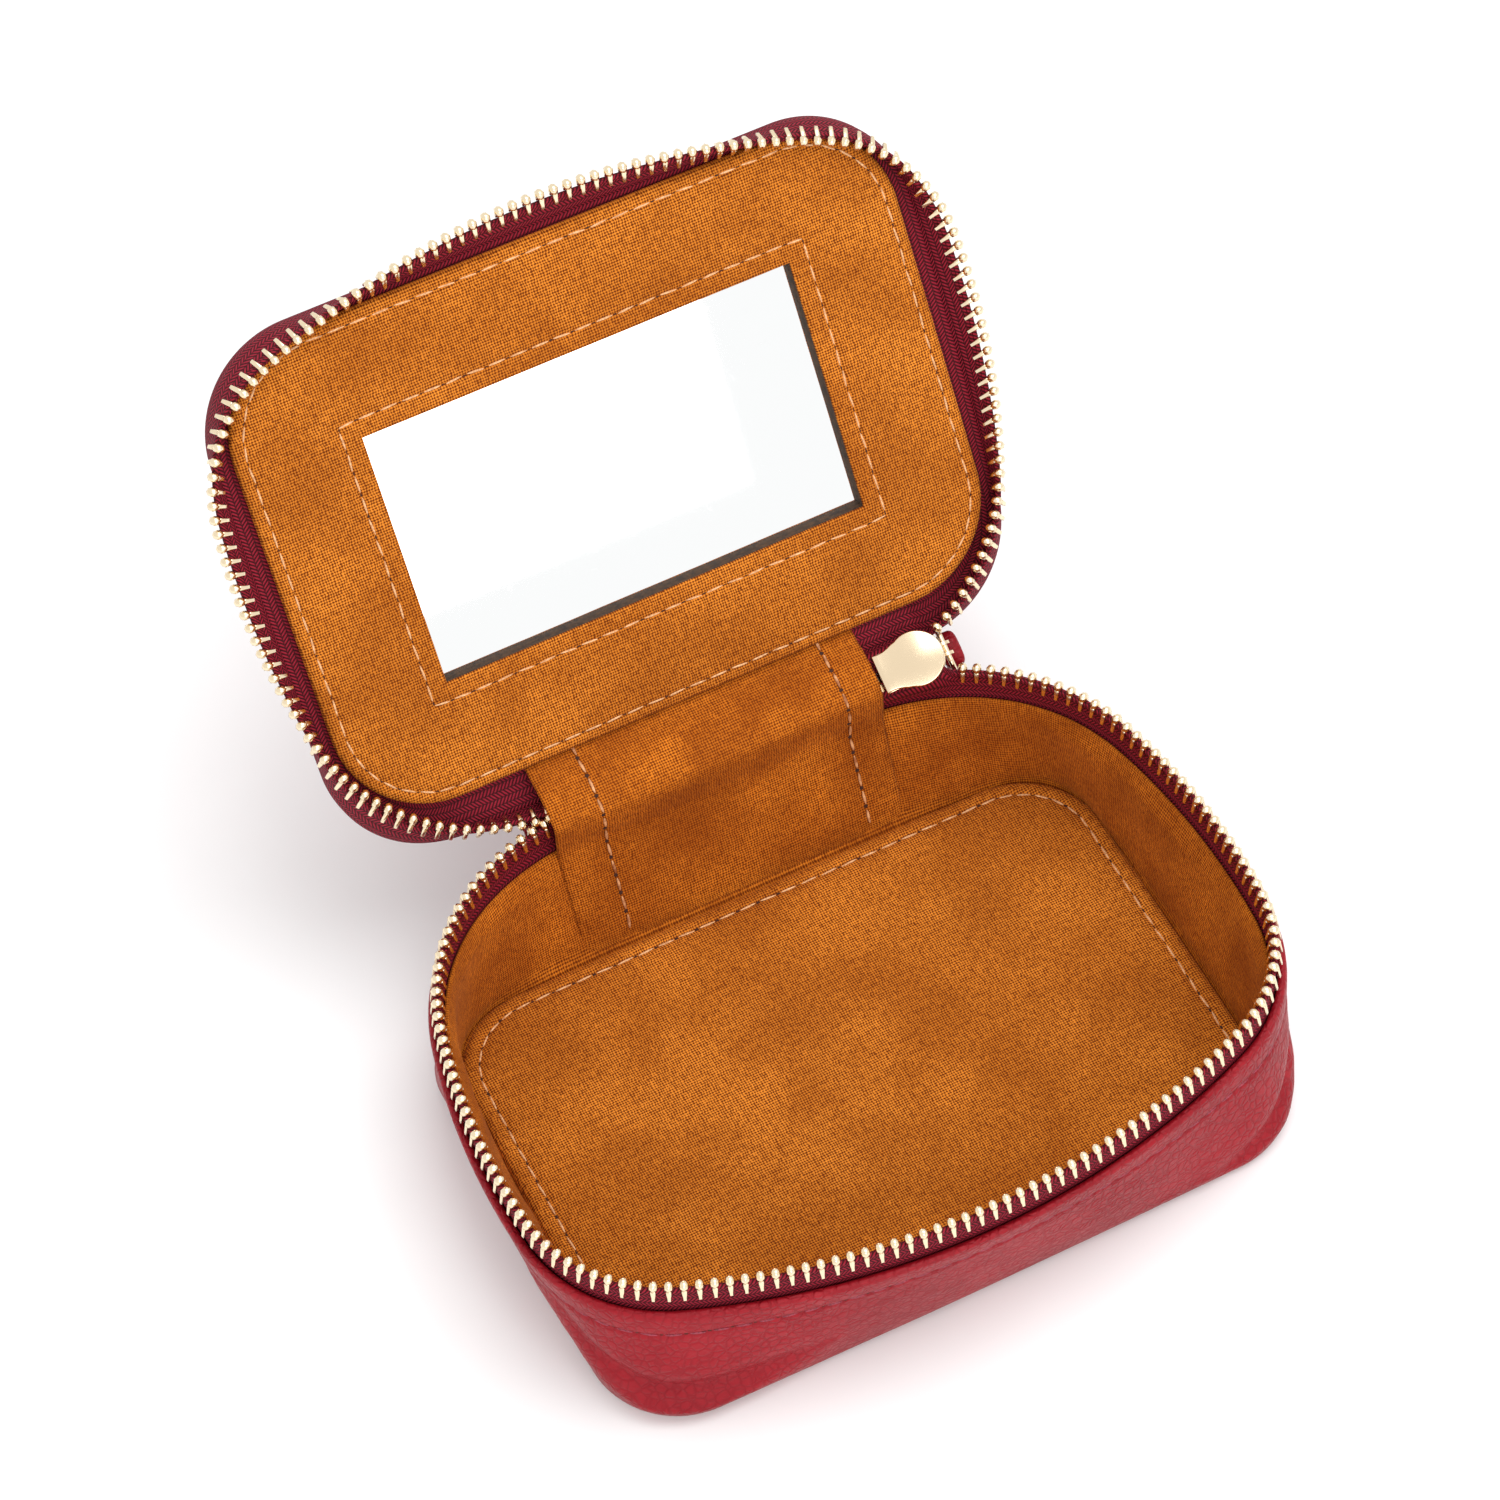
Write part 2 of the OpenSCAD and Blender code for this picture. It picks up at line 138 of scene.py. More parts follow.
def base_wall(share, height, out):
    low, high = foot.at(share, out)[0], rim.at(share, out)[0]
    p = low.lerp(high + Vector((0, HINGE_Y)), min(1.0, height / EDGE_Z))
    return Vector((p.x, p.y, height))


def lid_wall(share, height, out):
    """height is measured from the zip line to the lid's top. The lid is squarer than the zip."""
    low = lid_edge.at(share, out)[0] + Vector((0, LID_MIDDLE))
    high = lid_top.at(share, out)[0] + Vector((0, LID_TOP_MIDDLE))
    p = low.lerp(high, max(0.0, (height - TAPE_SHOW) / (LID_HEIGHT - TAPE_SHOW)))
    return opened((p.x, p.y, height))


def leaf(share, drop, side, out=0.0, under=0.0):
    """On a tape: side -1 is the base's and 1 the lid's, drop is measured from the zip line."""
    p = rim.at(share, out)[0]
    if side > 0:
        edge = lid_edge.at(share, out + 1.8 - under)[0] + Vector((0, LID_MIDDLE))
        lean = min(1.0, drop / 5.4)
        p = p.lerp(edge, math.sin(lean * math.pi / 2) * 0.6 + lean * 0.4)
    near_slider = 1 - smooth(36, 39.5, p.x) if p.x > 0 and p.y > -12 else 0.0
    turn = HALF_OPEN * near_slider * (1 - smooth(1.5, TAPE_SHOW, drop))
    return opened((p.x, p.y, side * drop), turn if side < 0 else OPEN - turn)


# ---- Finishes ----
class Signal:
    """A shader socket that can be reckoned with."""

    def __init__(self, finish, socket):
        self.finish, self.socket = finish, socket

    def reckon(self, operation, *values):
        return self.finish.node("ShaderNodeMath", {"operation": operation}, dict(enumerate(values)))

    def __add__(self, other): return self.reckon("ADD", self, other)
    def __radd__(self, other): return self.reckon("ADD", other, self)
    def __sub__(self, other): return self.reckon("SUBTRACT", self, other)
    def __rsub__(self, other): return self.reckon("SUBTRACT", other, self)
    def __mul__(self, other): return self.reckon("MULTIPLY", self, other)
    def __rmul__(self, other): return self.reckon("MULTIPLY", other, self)
    def __truediv__(self, other): return self.reckon("DIVIDE", self, other)
    def __rtruediv__(self, other): return self.reckon("DIVIDE", other, self)
    def __mod__(self, other): return self.reckon("FLOORED_MODULO", self, other)
    def __lt__(self, other): return self.reckon("LESS_THAN", self, other)

    def sine(self): return self.reckon("SINE", self)
    def size(self): return self.reckon("ABSOLUTE", self)
    def floor(self): return self.reckon("FLOOR", self)
    def power(self, n): return self.reckon("POWER", self, n)

    def ramp(self, low, high):
        return self.finish.node("ShaderNodeMapRange", {"interpolation_type": "SMOOTHSTEP"},
                                {"Value": self, "From Min": low, "From Max": high})


class Finish:
    """A material built node by node."""

    def __init__(self, name, **constants):
        self.material = bpy.data.materials.new(name)
        self.material.use_nodes = True
        self.tree = self.material.node_tree
        self.tree.nodes.clear()
        self.shader = self.tree.nodes.new("ShaderNodeBsdfPrincipled")
        out = self.tree.nodes.new("ShaderNodeOutputMaterial")
        self.tree.links.new(self.shader.outputs[0], out.inputs[0])
        for key, value in constants.items():
            self.shader.inputs[key.replace("_", " ")].default_value = value

    def put(self, socket, value):
        if isinstance(value, Signal):
            self.tree.links.new(value.socket, socket)
        elif hasattr(value, "__len__") and len(value) == 3 and socket.type == "RGBA":
            socket.default_value = (*value, 1)
        else:
            socket.default_value = value

    def node(self, kind, settings=None, inputs=None, output=0):
        made = self.tree.nodes.new(kind)
        for key, value in (settings or {}).items():
            if key == "stops":
                ramp = made.color_ramp.elements
                while len(ramp) < len(value):
                    ramp.new(0.5)
                for stop, (place, colour) in zip(ramp, value):
                    stop.position, stop.color = place, (*colour, 1)
            else:
                setattr(made, key, value)
        for key, value in (inputs or {}).items():
            self.put(made.inputs[key], value)
        return Signal(self, made.outputs[output])

    def place(self):
        """Object coordinates, in millimetres."""
        co = self.node("ShaderNodeTexCoord", output="Object")
        return self.vector("MULTIPLY", co, (1000, 1000, 1000))

    def weave(self):
        """The piece's own cloth map in millimetres, as (along, across, vector)."""
        uv = self.node("ShaderNodeUVMap", {"uv_map": "cloth"})
        split = self.node("ShaderNodeSeparateXYZ", inputs={0: uv})
        return split, Signal(self, split.socket.node.outputs[1]), uv

    def vector(self, operation, *values):
        return self.node("ShaderNodeVectorMath", {"operation": operation}, dict(enumerate(values)))

    def noise(self, where, scale, detail=3.0, rough=0.55):
        return self.node("ShaderNodeTexNoise", None,
                         {"Vector": where, "Scale": scale, "Detail": detail, "Roughness": rough})

    def mix(self, factor, a, b, kind="MIX"):
        made = self.tree.nodes.new("ShaderNodeMix")
        made.data_type, made.blend_type = "RGBA", kind
        for socket, value in ((made.inputs[0], factor), (made.inputs[6], a), (made.inputs[7], b)):
            self.put(socket, value)
        return Signal(self, made.outputs[2])

    def bump(self, height, depth, strength=1.0, under=None):
        inputs = {"Height": height, "Distance": depth, "Strength": strength}
        if under:
            inputs["Normal"] = under
        return self.node("ShaderNodeBump", None, inputs)

    def set(self, **links):
        for key, value in links.items():
            self.put(self.shader.inputs[key.replace("_", " ")], value)
        return self.material


def make_leather(name, deep, bright):
    f = Finish(name, Specular_IOR_Level=0.16, Coat_Weight=0.02, Coat_Roughness=0.3)
    here = f.place()
    stir = f.noise(here, 0.55, 2)
    moved = f.vector("ADD", here, f.vector("MULTIPLY", stir_vector(f, here), (0.9, 0.9, 0.9)))
    cells = f.node("ShaderNodeTexVoronoi", {"feature": "DISTANCE_TO_EDGE"},
                   {"Vector": moved, "Scale": 0.72, "Randomness": 0.95}, "Distance")
    small = f.node("ShaderNodeTexVoronoi", {"feature": "SMOOTH_F1"},
                   {"Vector": moved, "Scale": 1.7, "Smoothness": 0.6}, "Distance")
    pebbles = cells.ramp(0.0, 0.22)
    patch = f.noise(here, 0.045, 2).ramp(0.35, 0.7)
    pores = f.noise(here, 4.5, 2)
    relief = f.bump(pebbles * (0.35 + 0.65 * patch) - small * 0.25, 0.00022, 0.75)
    relief = f.bump(pores, 0.00004, 0.5, relief)
    tone = f.noise(here, 0.08, 3).ramp(0.3, 0.75)
    colour = f.mix(tone * 0.5 + pebbles * 0.35, deep, bright)
    return f.set(Base_Color=colour, Roughness=0.34 + 0.16 * stir - 0.06 * pebbles, Normal=relief)


def stir_vector(f, here):
    return f.node("ShaderNodeTexNoise", None, {"Vector": here, "Scale": 0.35, "Detail": 2.0},
                  "Color")


def make_suede(name, dark, mid, light, worn=0.5):
    f = Finish(name, Sheen_Weight=0.08, Sheen_Roughness=0.4, Specular_IOR_Level=0.1,
               Sheen_Tint=(1.0, 0.6, 0.3, 1))
    along, across, cloth = f.weave()
    drift = f.noise(cloth, 0.9, 2)
    a = (along * 7.4 + across * 7.4 + drift * 5.0).sine()
    b = (along * 7.4 - across * 7.4 + drift * 4.0).sine()
    weave = (a * b) * 0.5 + 0.5
    fuzz = f.noise(cloth, 2.6, 3, 0.7)
    nap = f.noise(cloth, 1.1, 3, 0.65)
    dots = (weave * 0.62 + fuzz * 0.5 + nap * 0.55).ramp(0.62, 1.04)
    blotch = f.noise(cloth, 0.055, 4, 0.62).ramp(0.34, 0.68)
    handled = f.noise(cloth, 0.02, 2).ramp(0.3, 0.7)
    ground = f.mix(blotch * 0.65 + handled * 0.35, mid, light)
    colour = f.mix(dots, dark, ground)
    colour = f.mix(worn * (1 - blotch) * 0.55, colour, dark)
    relief = f.bump(dots, 0.00009, 0.6)
    return f.set(Base_Color=colour, Roughness=0.86 + 0.08 * fuzz, Normal=relief)


def make_tape(name, dark, light):
    """Herringbone tape: narrow ribs of slanting yarn that turn back on each other."""
    f = Finish(name, Specular_IOR_Level=0.2)
    along, across, cloth = f.weave()
    rib = (across / 1.05)
    turn = (rib.floor() % 2.0) * 2.0 - 1.0
    across_rib = (rib % 1.0) - 0.5
    yarn = ((along + across * turn * 0.9) * 8.6).sine() * 0.5 + 0.5
    groove = (across_rib.size() * 2.0).power(3.0)
    fibre = f.noise(cloth, 9.0, 2)
    height = yarn * (1 - groove * 0.8) + fibre * 0.3
    relief = f.bump(height, 0.00016, 0.8)
    return f.set(Base_Color=f.mix(height.ramp(0.15, 1.05), dark, light),
                 Roughness=0.62 + 0.2 * fibre, Normal=relief)


def make_metal(name, colour, roughness, pits=0.35):
    f = Finish(name, Metallic=1.0)
    here = f.place()
    cloud = f.noise(here, 0.5, 3)
    scratch = f.noise(f.vector("MULTIPLY", here, (0.9, 6.0, 6.0)), 1.6, 2)
    speck = f.node("ShaderNodeTexVoronoi", None, {"Vector": here, "Scale": 1.1}, "Distance")
    pit = 1 - speck.ramp(0.03, 0.09)
    relief = f.bump(scratch * 0.25 - pit * pits, 0.00002, 0.5)
    tint = f.mix(pit * pits + cloud * 0.12, colour, tuple(c * 0.55 for c in colour))
    return f.set(Base_Color=tint, Roughness=roughness + 0.12 * cloud + 0.15 * pit, Normal=relief)


def make_plain(name, dark, light, scale, roughness, depth=0.00005, **constants):
    f = Finish(name, **constants)
    here = f.place()
    grain = f.noise(here, scale, 4, 0.6)
    return f.set(Base_Color=f.mix(grain.ramp(0.3, 0.7), dark, light),
                 Roughness=roughness + 0.15 * grain, Normal=f.bump(grain, depth, 0.6))


def make_mirror():
    f = Finish("silvered_glass", Metallic=1.0)
    here = f.place()
    dust = f.noise(here, 0.7, 4).ramp(0.62, 0.8)
    return f.set(Base_Color=f.mix(dust * 0.06, (0.96, 0.97, 0.97), (0.8, 0.8, 0.8)),
                 Roughness=0.012 + dust * 0.03)


leather_red = make_leather("pebbled_leather", (0.215, 0.0045, 0.010), (0.335, 0.010, 0.018))
suede_floor = make_suede("suede_panel", (0.13, 0.022, 0.0015), (0.66, 0.195, 0.017),
                         (0.80, 0.262, 0.029))
suede_wall = make_suede("suede_wall", (0.15, 0.026, 0.0015), (0.60, 0.155, 0.010),
                        (0.78, 0.235, 0.019), 0.8)
tape_cloth = make_tape("herringbone_tape", (0.040, 0.0015, 0.004), (0.33, 0.014, 0.033))
zip_gold = make_metal("pale_gold_teeth", (0.90, 0.75, 0.52), 0.14, 0.2)
slider_gold = make_metal("pale_gold_slider", (0.86, 0.69, 0.47), 0.12, 0.3)
peach_thread = make_plain("peach_thread", (0.50, 0.22, 0.08), (0.86, 0.50, 0.25), 3.0, 0.6)
tan_thread = make_plain("tan_thread", (0.30, 0.085, 0.02), (0.78, 0.40, 0.18), 0.9, 0.65)
red_thread = make_plain("burgundy_thread", (0.12, 0.005, 0.012), (0.40, 0.04, 0.075), 3.0, 0.45)
# Painted shade: dark colour for the flat discs laid at the needle holes, standing in for the shadow inside each
# hole
stitch_hole_shade = make_plain("painted_stitch_hole_shade", (0.030, 0.008, 0.004), (0.060, 0.016, 0.007), 3.0, 0.9)
board_brown = make_plain("board_edge", (0.022, 0.010, 0.004), (0.075, 0.034, 0.012), 0.9, 0.85)
foam_white = make_plain("white_foam", (0.55, 0.52, 0.45), (0.75, 0.72, 0.64), 1.5, 0.9)
mirror_finish = make_mirror()


# ---- Modelling helpers ----
def shaped_grid(around, across, place, size=(1.0, 1.0), closed=False):
    """A grid whose points are put in place by share along and share across, with a cloth map."""
    bm = bmesh.new()
    bmesh.ops.create_grid(bm, x_segments=around, y_segments=across, size=1)
    uv = bm.loops.layers.uv.new("cloth")
    for face in bm.faces:
        for loop in face.loops:
            x, y = loop.vert.co.xy
            loop[uv].uv = ((x + 1) / 2 * size[0], (y + 1) / 2 * size[1])
    for v in bm.verts:
        v.co = place((v.co.x + 1) / 2, (v.co.y + 1) / 2)
    if closed:
        bmesh.ops.remove_doubles(bm, verts=bm.verts, dist=1e-4)
    return bm


def rows_at(rows, share):
    """The row at a share of a list, with the values between two rows in proportion."""
    place = share * (len(rows) - 1)
    i = min(int(place + 1e-6), len(rows) - 2)
    t = place - i
    return [a + (b - a) * t for a, b in zip(rows[i], rows[i + 1])]


def facing(bm, centre, outward=True):
    """Turns an open skin so that it faces away from a point, or towards it."""
    bm.normal_update()
    total = sum((f.calc_center_median() - Vector(centre)).dot(f.normal) * f.calc_area()
                for f in bm.faces)
    if (total > 0) != outward:
        bmesh.ops.reverse_faces(bm, faces=bm.faces)


def piece(name, bm, finishes, body=None, replaces=(), sharp=None):
    bm.normal_update()
    bmesh.ops.scale(bm, vec=(MM, MM, MM), verts=bm.verts)
    mesh = bpy.data.meshes.new(name)
    bm.to_mesh(mesh)
    bm.free()
    for finish in finishes:
        mesh.materials.append(finish)
    mesh.shade_smooth()
    if sharp:
        mesh.set_sharp_from_angle(angle=math.radians(sharp))
    obj = bpy.data.objects.new(name, mesh)
    bpy.context.scene.collection.objects.link(obj)
    if body:
        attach(obj, body)
    if replaces:
        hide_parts(*replaces)
    return obj


def thicken(obj, thickness, offset=-1.0):
    solid = obj.modifiers.new("thickness", "SOLIDIFY")
    solid.thickness, solid.offset = thickness * MM, offset
    return obj


def axes(along, up):
    """Turn that lays X along one direction with Z as near to up as it can be."""
    x = along.normalized()
    y = up.cross(x).normalized()
    return Matrix((x, y, x.cross(y))).transposed().to_4x4()


def stitches(name, path, count, body, thread, radius=0.24, fill=0.80, hole=0.30, sunk=0.0,
             blend=None):
    """A row of separate stitches. path(share) gives a point and the face's direction."""
    bm = bmesh.new()
    for i in range(count):
        (a, up), (b, _) = path((i + 0.5 - fill / 2) / count), path((i + 0.5 + fill / 2) / count)
        middle = (a + b) / 2 + up * (radius * 0.35 - sunk)
        turn = axes(b - a, up) @ Matrix.Rotation(random.uniform(-0.09, 0.09), 4, "Z")
        made = bmesh.ops.create_uvsphere(bm, u_segments=6, v_segments=6, radius=1)
        shape = Matrix.Diagonal(((b - a).length / 2, radius, radius * 0.8, 1))
        # The sphere's poles lie along the thread
        shape = shape @ Matrix.Rotation(math.pi / 2, 4, "Y")
        bmesh.ops.transform(bm, matrix=Matrix.Translation(middle) @ turn @ shape,
                            verts=made["verts"])
        # A flat dark disc at each needle hole is painted shade of the hole
        if hole:
            at, up = path(i / count)
            made = bmesh.ops.create_uvsphere(bm, u_segments=6, v_segments=4, radius=1)
            shape = Matrix.Diagonal((hole, hole, 0.07, 1))
            bmesh.ops.transform(
                bm, matrix=Matrix.Translation(at) @ axes(b - a, up) @ shape, verts=made["verts"])
            for face in {f for v in made["verts"] for f in v.link_faces}:
                face.material_index = 1
    obj = piece(name, bm, [thread, stitch_hole_shade], body)
    if blend:
        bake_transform(obj)
    return obj


# ---- Leather shells ----
EDGE_ROLL = [(0.55, 3.2), (0.5, 0.9), (0.6, 0.35), (0.95, 0.05), (1.25, 0.0), (1.6, 0.12),
             (1.85, 0.5), (1.95, 1.1), (1.97, 2.0), (1.95, 3.2), (1.86, 3.9), (1.6, 4.3), (1.86, 4.7),
             (1.95, 5.4)]
FOOT_ROLL = [(1.85, 2.4), (1.72, 1.6), (1.45, 0.95), (1.0, 0.45), (0.4, 0.13), (-0.4, 0.0),
             (-2.0, 0.0)]

# Folds where the wall's leather turns in over the corners of the foot: places as share of the way
# round and height, then width and depth
FOLDS = [
    ([(0.315, 17.0), (0.335, 12.0), (0.358, 7.0), (0.385, 3.0)], 1.6, 1.0),
    ([(0.690, 17.0), (0.668, 12.0), (0.645, 8.5), (0.610, 7.5), (0.585, 8.5)], 1.6, 1.0),
    ([(0.655, 7.0), (0.635, 5.0), (0.612, 5.2)], 1.1, 0.5),
    ([(0.182, 15.0), (0.165, 9.0), (0.150, 4.0)], 2.0, 0.6),
    ([(0.818, 15.0), (0.835, 9.0), (0.850, 4.0)], 2.0, 0.6),
]
WAY_ROUND = foot.half + rim.half


def fold_depth(share, height):
    total = 0.0
    for points, width, depth in FOLDS:
        best, end, below = 999.0, 0.0, False
        for i, ((s0, z0), (s1, z1)) in enumerate(zip(points, points[1:])):
            a, b = Vector((s0 * WAY_ROUND, z0)), Vector((s1 * WAY_ROUND, z1))
            p = Vector((share * WAY_ROUND, height))
            t = min(1.0, max(0.0, (p - a).dot(b - a) / (b - a).length_squared))
            gap = (p - a.lerp(b, t)).length
            if gap < best:
                best, end = gap, (i + t) / (len(points) - 1)
                below = (p - a.lerp(b, t)).y < 0
        fade = math.sin(math.pi * (0.12 + 0.76 * end))
        valley = math.exp(-(best / width) ** 2)
        ridge = math.exp(-((best - 2.4 * width) / (1.6 * width)) ** 2) * (0.9 if below else 0.25)
        total += depth * fade * (ridge * 0.8 - valley)
    return total


def wall_rows(top, foot_rows, steps):
    rows = [(out, top - drop, 1.0) for out, drop in EDGE_ROLL]
    low = foot_rows[0][1]
    start = rows[-1][1]
    for i in range(1, steps):
        t = i / steps
        rows.append((1.9 + 0.35 * math.sin(math.pi * t), start + (low - start) * t, 1.0))
    rows += [(out, height, 1.0) for out, height in foot_rows]
    rows += [(-2.0, foot_rows[-1][1], k) for k in (0.8, 0.5, 0.25, 0.0)]
    return rows


BASE_ROWS = wall_rows(EDGE_Z, FOOT_ROLL, 30)


def base_shell_place(u, w):
    out, height, shrink = rows_at(BASE_ROWS, w)
    if 1.0 < height < EDGE_Z - 3:
        ease = smooth(1.0, 3.5, height) * (1 - smooth(EDGE_Z - 6, EDGE_Z - 3, height))
        p = base_wall(u, height, 0)
        out += ease * (fold_depth(u, height) + 0.35 * ripple(p.x, p.y, p.z, 17)
                       + 0.10 * ripple(p.x, p.y, p.z * 2, 4))
    p = base_wall(u, height, out)
    return Vector((p.x * shrink, p.y * shrink, p.z))


def lid_shell_place(u, w):
    out, height, shrink = rows_at(LID_ROWS, w)
    if height < LID_HEIGHT - 1.0 and height > TAPE_SHOW + 3:
        p = base_wall(u, height, 0)
        out += 0.25 * ripple(p.x, p.y, p.z + 90, 15)
    high = opened((0, -HINGE_Y, height))
    p = lid_wall(u, height, out)
    return high.lerp(p, shrink) if shrink < 1 else p


def lid_rows():
    rows = [(0.2, TAPE_SHOW + 1.6, 1.0), (0.6, 6.6, 1.0), (0.9, 6.35, 1.0)]
    rows += [(out, TAPE_SHOW + min(drop, 5.4), 1.0) for out, drop in EDGE_ROLL[4:]]
    rows += [(1.95, 12.3, 1.0), (1.88, 12.9, 1.0)]
    rows += [(out, LID_HEIGHT - height, 1.0) for out, height in FOOT_ROLL[1:]]
    for k, crown in ((0.92, 0.45), (0.8, 0.75), (0.6, 0.95), (0.35, 1.05), (0.15, 1.1), (0.0, 1.1)):
        rows.append((-2.0, LID_HEIGHT + crown, k))
    return rows


LID_ROWS = lid_rows()


def make_shells():
    bm = shaped_grid(420, len(BASE_ROWS) - 1, base_shell_place, (330, 30), closed=True)
    bmesh.ops.recalc_face_normals(bm, faces=bm.faces)
    facing(bm, (0, 0, 12))
    piece("base_shell", bm, [leather_red], "base",
          ("base_leather_bottom", "base_leather_wall"))
    bm = shaped_grid(360, len(LID_ROWS) - 1, lid_shell_place, (330, 20), closed=True)
    bmesh.ops.recalc_face_normals(bm, faces=bm.faces)
    facing(bm, opened((0, -HINGE_Y, 10)))
    piece("lid_shell", bm, [leather_red], "lid",
          ("lid_leather_top", "lid_leather_wall", "lid_foam"))

    def edge_stitch(side):
        def path(share):
            if side < 0:
                at = lambda out: base_wall(share, EDGE_Z - 4.3, out)
            else:
                at = lambda out: lid_wall(share, TAPE_SHOW + 4.3, out)
            return at(1.62), (at(2.6) - at(1.6)).normalized()
        return path
    count = round(2 * rim.half / 3.3)
    stitches("base_edge_stitches", edge_stitch(-1), count, "base", red_thread, 0.24, 0.72, 0.34)
    stitches("lid_edge_stitches", edge_stitch(1), count, "lid", red_thread, 0.24, 0.72, 0.34)


# ---- Suede lining of the base ----
LINING_Z = HINGE_Z - TAPE_SHOW
LINING_ROWS = ([(-0.50, LINING_Z - 1.2), (-0.48, LINING_Z - 0.3), (-0.75, LINING_Z),
                (-1.1, LINING_Z - 0.15), (-1.25, LINING_Z - 0.8)]
               + [(-1.3, LINING_Z - 0.8 - i * (LINING_Z - 6.4) / 24) for i in range(1, 25)]
               + [(-1.4, 4.6), (-1.7, 3.7), (-2.8, 3.0), (-5.5, 2.6)])


def lining_place(u, w):
    out, height = rows_at(LINING_ROWS, w)
    p = base_wall(u, height, 0)
    ease = smooth(3.0, 6.0, height) * (1 - smooth(LINING_Z - 3.5, LINING_Z - 0.5, height))
    behind_strap = smooth(-10, 20, p.y) * (1 - smooth(26, 31, abs(p.x)))
    tuck = 0.42 * ripple(p.x * 1.0, p.y * 1.0, p.z * 0.55, 6.5) + 0.55 * ripple(p.x, p.y, p.z, 14)
    return base_wall(u, height, out - ease * (1 - behind_strap) * (0.45 + tuck))


def make_lining():
    bm = shaped_grid(400, len(LINING_ROWS) - 1, lining_place, (2 * foot.half, LINING_Z), closed=True)
    facing(bm, (0, 0, 15), outward=False)
    obj = piece("base_lining", bm, [suede_wall], "base", ("base_lining_wall",))
    2 * rim.half * MM
    LINING_Z * MM


# ---- Padded floor ----
floor_outline = rounded(108.0, 75.0, 14)
FLOOR_ROWS = ([(-0.9, 1.8, 1.0), (-0.15, 2.3, 1.0), (0.0, 3.2, 1.0), (-0.12, 4.0, 1.0), (-0.5, 4.6, 1.0),
               (-1.1, 4.95, 1.0), (-1.9, 5.0, 1.0), (-2.4, 4.86, 1.0), (-2.75, 4.62, 1.0),
               (-3.1, 4.84, 1.0), (-3.6, 5.02, 1.0), (-4.6, 5.1, 1.0), (-6.5, 5.12, 1.0),
               (-9.0, 5.12, 1.0)]
              + [(-9.0, 5.1, k / 12) for k in range(11, -1, -1)])


def floor_place(u, w):
    out, height, shrink = rows_at(FLOOR_ROWS, w)
    p = floor_outline.at(u, out)[0] * shrink
    soft = smooth(3.6, 4.9, height)
    pucker = 0.10 * math.sin(2 * math.pi * u * 100) * math.exp(-((out + 1.6) / 0.8) ** 2)
    height += soft * (0.22 * ripple(p.x, p.y, 3, 19) + 0.10 * ripple(p.x, p.y, 9, 7) + pucker)
    return Vector((p.x, p.y, height))


def flat_map(bm, lid=False):
    """Lays the cloth map flat over a panel, so that the weave runs straight."""
    uv = bm.loops.layers.uv["cloth"]
    for face in bm.faces:
        for loop in face.loops:
            co = loop.vert.co
            y = co.y if not lid else math.hypot(co.y - HINGE_Y, co.z - HINGE_Z)
            loop[uv].uv = (co.x + 120, y + 90)


def make_floor():
    bm = shaped_grid(400, len(FLOOR_ROWS) - 1, floor_place, closed=True)
    bmesh.ops.recalc_face_normals(bm, faces=bm.faces)
    facing(bm, (0, 0, 2))
    flat_map(bm)
    obj = piece("floor_pad", bm, [suede_floor], "base", ("floor_panel", "floor_foam"))

    def path(share):
        p = floor_outline.at(share, -2.75)[0]
        return Vector((p.x, p.y, 4.66 + 0.22 * ripple(p.x, p.y, 3, 19))), Vector((0, 0, 1))
    stitches("floor_stitches", path, round(2 * floor_outline.half / PITCH), "base", peach_thread,
             0.2, 0.8, 0.34)


# ---- Lid panel with its mirror window ----
PANEL_MIDDLE = -46.6
PANEL_LENGTH, PANEL_DEPTH, PANEL_CORNER = 107.6, 77.4, 16
panel_outline = rounded(PANEL_LENGTH, PANEL_DEPTH, PANEL_CORNER)
WINDOW = (69.4, 40.5)
WINDOW_MIDDLE = -46.25
U_KNOTS = [0, 50 / 320, 110 / 320, 210 / 320, 270 / 320, 1]


def corner_shares(outline, radius, straight):
    first = (straight + math.pi * radius / 4) / (2 * outline.half)
    return [0, first, 0.5 - first, 0.5 + first, 1 - first, 1]


def remap(u, knots, values):
    """From a place between knots to the same place between their values."""
    for (a, b), (c, d) in zip(zip(knots, knots[1:]), zip(values, values[1:])):
        if u <= b + 1e-9:
            return c + (d - c) * (u - a) / (b - a)
    return 1.0


PANEL_SHARES = corner_shares(panel_outline, PANEL_CORNER, PANEL_LENGTH / 2 - PANEL_CORNER)


def window_point(u, out):
    half_l, half_d = WINDOW[0] / 2 + out, WINDOW[1] / 2 + out
    corners = [(0, half_d), (half_l, half_d), (half_l, -half_d), (-half_l, -half_d),
               (-half_l, half_d), (0, half_d)]
    for (a, b), p, q in zip(zip(U_KNOTS, U_KNOTS[1:]), corners, corners[1:]):
        if u <= b + 1e-9:
            t = (u - a) / (b - a)
            return Vector((p[0] + (q[0] - p[0]) * t, p[1] + (q[1] - p[1]) * t + WINDOW_MIDDLE))
    return Vector((0, half_d + WINDOW_MIDDLE))


